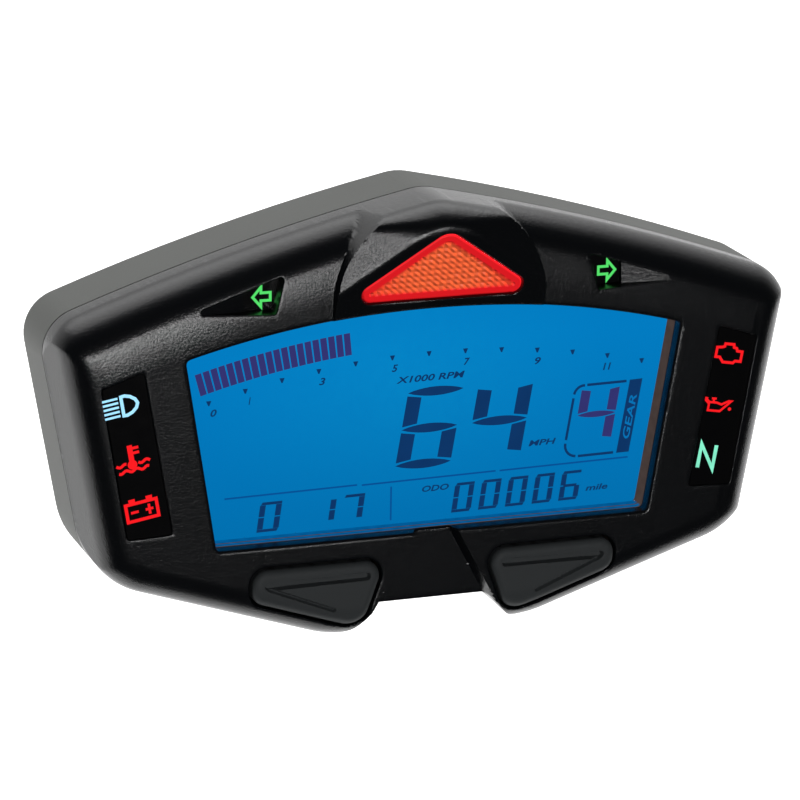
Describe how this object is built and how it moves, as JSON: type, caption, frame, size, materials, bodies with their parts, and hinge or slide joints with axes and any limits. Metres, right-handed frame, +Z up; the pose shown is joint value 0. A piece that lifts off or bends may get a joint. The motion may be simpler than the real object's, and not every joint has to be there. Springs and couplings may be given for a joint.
{
  "type": "motorcycle instrument cluster",
  "caption": "Digital motorcycle instrument cluster with a lit display, a hooded warning lamp, turn arrows, telltale strips and rubber keys.",
  "frame": {"origin": "centre of the rear bolt circle, on the plane that the mounting bosses bolt against", "axes": "+Y out of the back towards the bracket, -Y towards the rider, +Z up, +X to the rider's right"},
  "size_m": [0.1248, 0.0367, 0.072],
  "materials": {
    "cover_plastic": "near-black moulded plastic with a fine pebble grain, satin",
    "housing_plastic": "dark grey moulded plastic, matte",
    "key_rubber": "matte moulded silicone",
    "seal_rubber": "matte",
    "membrane": "microporous film",
    "brass": "turned, knurled outside",
    "clear_plastic": "clear polycarbonate",
    "display_face": "lit blue liquid crystal face with dark segments",
    "display_glass": "polished",
    "polarizer": "smooth film",
    "white_plastic": "white moulded plastic",
    "reflector": "silvered film",
    "circuit_board": "green solder mask",
    "lamp_body": "moulded lamp package",
    "red_lens": "red transparent plastic with a prismatic back",
    "dark_lens": "smoked plastic, polished",
    "film": "printed film",
    "frame_plastic": "dark moulded plastic",
    "chip_plastic": "moulded epoxy",
    "can_metal": "drawn can",
    "connector_plastic": "glass-filled nylon",
    "pin_metal": "plated",
    "screw_steel": "black zinc",
    "switch_plastic": "moulded plastic",
    "plunger_plastic": "moulded plastic"
  },
  "bodies": {
    "case": {"backlight_board": "circuit_board", "backlight_leds": "lamp_body", "backlight_tray": "white_plastic", "board_screws": "screw_steel", "capacitors": "can_metal", "case_screws": "screw_steel", "connector_header": "connector_plastic", "connector_pins": "pin_metal", "crystal": "can_metal", "diffuser_film": "white_plastic", "display_frame": "frame_plastic", "display_front_glass": "display_glass", "display_rear_glass": "display_glass", "display_window": "clear_plastic", "driver_chips": "chip_plastic", "elastomeric_connectors": "seal_rubber", "front_cover": "cover_plastic", "front_polarizer": "display_face", "housing_seal": "seal_rubber", "left_strip_film": "film", "left_strip_lens": "dark_lens", "left_strip_light_box": "white_plastic", "left_switch": "switch_plastic", "left_turn_light_box": "white_plastic", "left_turn_window": "dark_lens", "light_guide": "clear_plastic", "main_board": "circuit_board", "microcontroller": "chip_plastic", "mounting_inserts": "brass", "rear_housing": "housing_plastic", "rear_polarizer": "polarizer", "reflector_sheet": "reflector", "right_strip_film": "film", "right_strip_lens": "dark_lens", "right_strip_light_box": "white_plastic", "right_switch": "switch_plastic", "right_turn_light_box": "white_plastic", "right_turn_window": "dark_lens", "telltale_lamps": "lamp_body", "vent_membrane": "membrane", "voltage_regulator": "chip_plastic", "warning_lamps": "lamp_body", "warning_lens": "red_lens", "warning_light_box": "white_plastic"},
    "left_key": {"left_key": "key_rubber"},
    "right_key": {"right_key": "key_rubber"},
    "left_plunger": {"left_plunger": "plunger_plastic"},
    "right_plunger": {"right_plunger": "plunger_plastic"}
  },
  "joints": [
    {"name": "left_key_press", "type": "slide", "parent": "case", "child": "left_key", "axis": [0, 1, 0], "range_m": [0, 0.001], "stiffness_N_per_m": 2500, "springref_m": -0.0004},
    {"name": "left_plunger_press", "type": "slide", "parent": "case", "child": "left_plunger", "axis": [0, 1, 0], "range_m": [0, 0.0003]},
    {"name": "right_key_press", "type": "slide", "parent": "case", "child": "right_key", "axis": [0, 1, 0], "range_m": [0, 0.001], "stiffness_N_per_m": 2500, "springref_m": -0.0004},
    {"name": "right_plunger_press", "type": "slide", "parent": "case", "child": "right_plunger", "axis": [0, 1, 0], "range_m": [0, 0.0003]}
  ],
  "couplings": [
    {"joint": "left_plunger_press", "follows": "left_key_press", "ratio": 0.3},
    {"joint": "right_plunger_press", "follows": "right_key_press", "ratio": 0.3}
  ]
}
